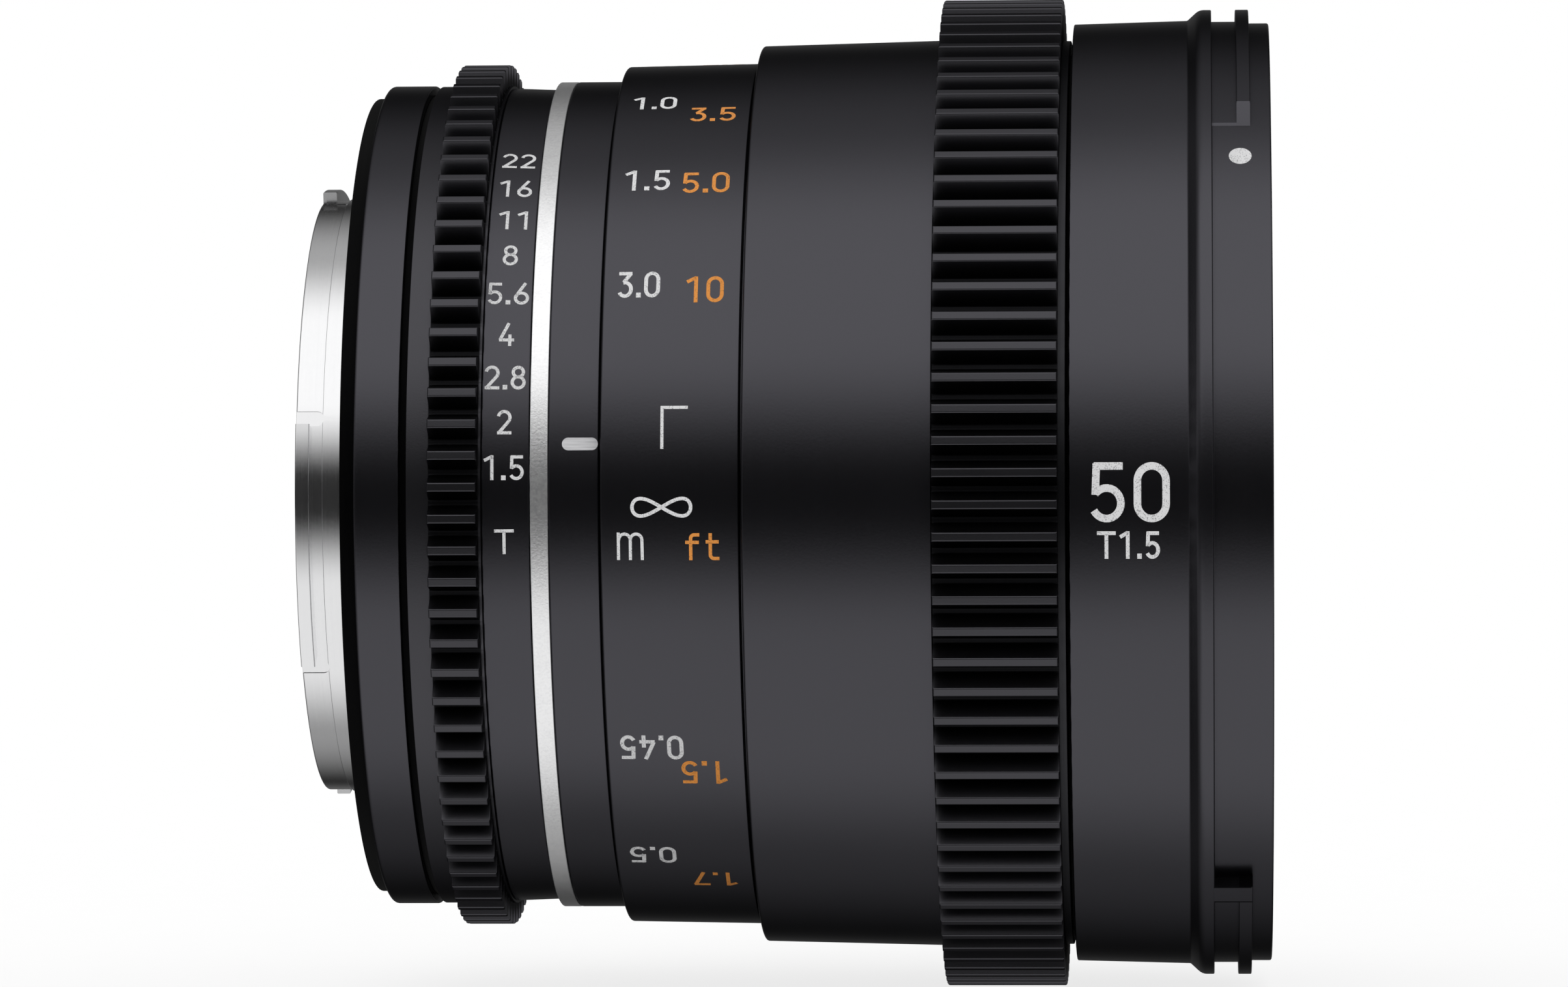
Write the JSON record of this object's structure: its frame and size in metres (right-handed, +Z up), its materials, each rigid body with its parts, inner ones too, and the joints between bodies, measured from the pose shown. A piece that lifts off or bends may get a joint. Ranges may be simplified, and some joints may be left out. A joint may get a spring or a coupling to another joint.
{
  "type": "cinema prime lens",
  "caption": "Manual cinema prime lens with geared focus and aperture rings, a bayonet mount, hood rails, a sliding optical cell and a working bladed iris.",
  "frame": {"origin": "centre of the mount flange's rear face, on the optical axis", "axes": "+X along the optical axis towards the front glass, +Z up with the scales' index on the -Y side"},
  "size_m": [0.0798, 0.0832, 0.0832],
  "materials": {
    "anodised_black": "satin anodised",
    "moulded_black": "matt moulded",
    "bright_chrome": "turned and plated",
    "satin_silver": "satin",
    "white_inlay": "brushed",
    "slide_washer": "smooth",
    "inner_alloy": "matt anodised",
    "matt_black_ring": "matt",
    "helicoid_brass": "turned",
    "screw_steel": "plain",
    "blade_steel": "blackened",
    "coated_glass": "coated"
  },
  "bodies": {
    "barrel": {"bayonet_mount": "bright_chrome", "mount_screws": "screw_steel", "rear_baffle": "moulded_black", "rear_shell": "anodised_black", "main_tube": "inner_alloy", "aperture_washer": "slide_washer", "trim_ring": "satin_silver", "index_barrel": "anodised_black", "index_marks": "white_inlay", "rear_thrust_washer": "slide_washer", "front_thrust_washer": "slide_washer", "helicoid_retainer": "inner_alloy", "front_barrel": "anodised_black", "front_screws": "screw_steel"},
    "aperture_control": {"aperture_ring": "anodised_black", "aperture_gear": "moulded_black", "aperture_lever": "helicoid_brass"},
    "focus_control": {"distance_scale_ring": "anodised_black", "focus_barrel": "anodised_black", "focus_gear": "moulded_black", "drive_keys": "helicoid_brass", "helicoid_ring": "helicoid_brass"},
    "optical_cell": {"cell_sleeve": "helicoid_brass", "front_group_barrel": "inner_alloy", "cell_screws": "screw_steel", "front_bezel": "matt_black_ring", "front_lens_retainer": "matt_black_ring", "front_spacer": "matt_black_ring", "doublet_retainer": "matt_black_ring", "iris_housing": "inner_alloy", "iris_cover": "inner_alloy", "guide_keys": "helicoid_brass", "rear_group_barrel": "inner_alloy", "rear_group_screws": "screw_steel", "rear_spacer_1": "matt_black_ring", "rear_spacer_2": "matt_black_ring", "rear_retainer": "matt_black_ring", "lens_element_1": "coated_glass", "lens_element_2": "coated_glass", "lens_element_3": "coated_glass", "lens_element_4": "coated_glass", "lens_element_5": "coated_glass", "lens_element_6": "coated_glass", "lens_element_7": "coated_glass", "lens_element_8": "coated_glass", "lens_element_9": "coated_glass"},
    "iris_cam": {"iris_cam_ring": "helicoid_brass"},
    "blade_1": {"iris_blade_1": "blade_steel"},
    "blade_2": {"iris_blade_2": "blade_steel"},
    "blade_3": {"iris_blade_3": "blade_steel"},
    "blade_4": {"iris_blade_4": "blade_steel"},
    "blade_5": {"iris_blade_5": "blade_steel"},
    "blade_6": {"iris_blade_6": "blade_steel"},
    "blade_7": {"iris_blade_7": "blade_steel"},
    "blade_8": {"iris_blade_8": "blade_steel"},
    "blade_9": {"iris_blade_9": "blade_steel"}
  },
  "joints": [
    {"name": "focus_turn", "type": "hinge", "parent": "barrel", "child": "focus_control", "pos_m": [0.045, 0, 0], "axis": [1, 0, 0], "range_deg": [0, 138]},
    {"name": "aperture_turn", "type": "hinge", "parent": "barrel", "child": "aperture_control", "pos_m": [0.01, 0, 0], "axis": [1, 0, 0], "range_deg": [-3.25, 46.4]},
    {"name": "cell_slide", "type": "slide", "parent": "barrel", "child": "optical_cell", "axis": [1, 0, 0], "range_m": [0, 0.0073]},
    {"name": "iris_cam_turn", "type": "hinge", "parent": "optical_cell", "child": "iris_cam", "pos_m": [0.03, 0, 0], "axis": [1, 0, 0], "range_deg": [-3.25, 46.4]},
    {"name": "blade_1_swing", "type": "hinge", "parent": "optical_cell", "child": "blade_1", "pos_m": [0.0283, 0.024, 0], "axis": [1, 0, 0], "range_deg": [-2.01, 28.65]},
    {"name": "blade_2_swing", "type": "hinge", "parent": "optical_cell", "child": "blade_2", "pos_m": [0.0283, 0.01839, 0.01543], "axis": [1, 0, 0], "range_deg": [-2.01, 28.65]},
    {"name": "blade_3_swing", "type": "hinge", "parent": "optical_cell", "child": "blade_3", "pos_m": [0.0283, 0.00417, 0.02364], "axis": [1, 0, 0], "range_deg": [-2.01, 28.65]},
    {"name": "blade_4_swing", "type": "hinge", "parent": "optical_cell", "child": "blade_4", "pos_m": [0.0283, -0.012, 0.02078], "axis": [1, 0, 0], "range_deg": [-2.01, 28.65]},
    {"name": "blade_5_swing", "type": "hinge", "parent": "optical_cell", "child": "blade_5", "pos_m": [0.0283, -0.02255, 0.00821], "axis": [1, 0, 0], "range_deg": [-2.01, 28.65]},
    {"name": "blade_6_swing", "type": "hinge", "parent": "optical_cell", "child": "blade_6", "pos_m": [0.0283, -0.02255, -0.00821], "axis": [1, 0, 0], "range_deg": [-2.01, 28.65]},
    {"name": "blade_7_swing", "type": "hinge", "parent": "optical_cell", "child": "blade_7", "pos_m": [0.0283, -0.012, -0.02078], "axis": [1, 0, 0], "range_deg": [-2.01, 28.65]},
    {"name": "blade_8_swing", "type": "hinge", "parent": "optical_cell", "child": "blade_8", "pos_m": [0.0283, 0.00417, -0.02364], "axis": [1, 0, 0], "range_deg": [-2.01, 28.65]},
    {"name": "blade_9_swing", "type": "hinge", "parent": "optical_cell", "child": "blade_9", "pos_m": [0.0283, 0.01839, -0.01543], "axis": [1, 0, 0], "range_deg": [-2.01, 28.65]}
  ],
  "couplings": [
    {"joint": "cell_slide", "follows": "focus_turn", "m_per_rad": 0.0030308},
    {"joint": "iris_cam_turn", "follows": "aperture_turn", "ratio": 1},
    {"joint": "blade_1_swing", "follows": "aperture_turn", "ratio": 0.61702},
    {"joint": "blade_2_swing", "follows": "aperture_turn", "ratio": 0.61702},
    {"joint": "blade_3_swing", "follows": "aperture_turn", "ratio": 0.61702},
    {"joint": "blade_4_swing", "follows": "aperture_turn", "ratio": 0.61702},
    {"joint": "blade_5_swing", "follows": "aperture_turn", "ratio": 0.61702},
    {"joint": "blade_6_swing", "follows": "aperture_turn", "ratio": 0.61702},
    {"joint": "blade_7_swing", "follows": "aperture_turn", "ratio": 0.61702},
    {"joint": "blade_8_swing", "follows": "aperture_turn", "ratio": 0.61702},
    {"joint": "blade_9_swing", "follows": "aperture_turn", "ratio": 0.61702}
  ]
}
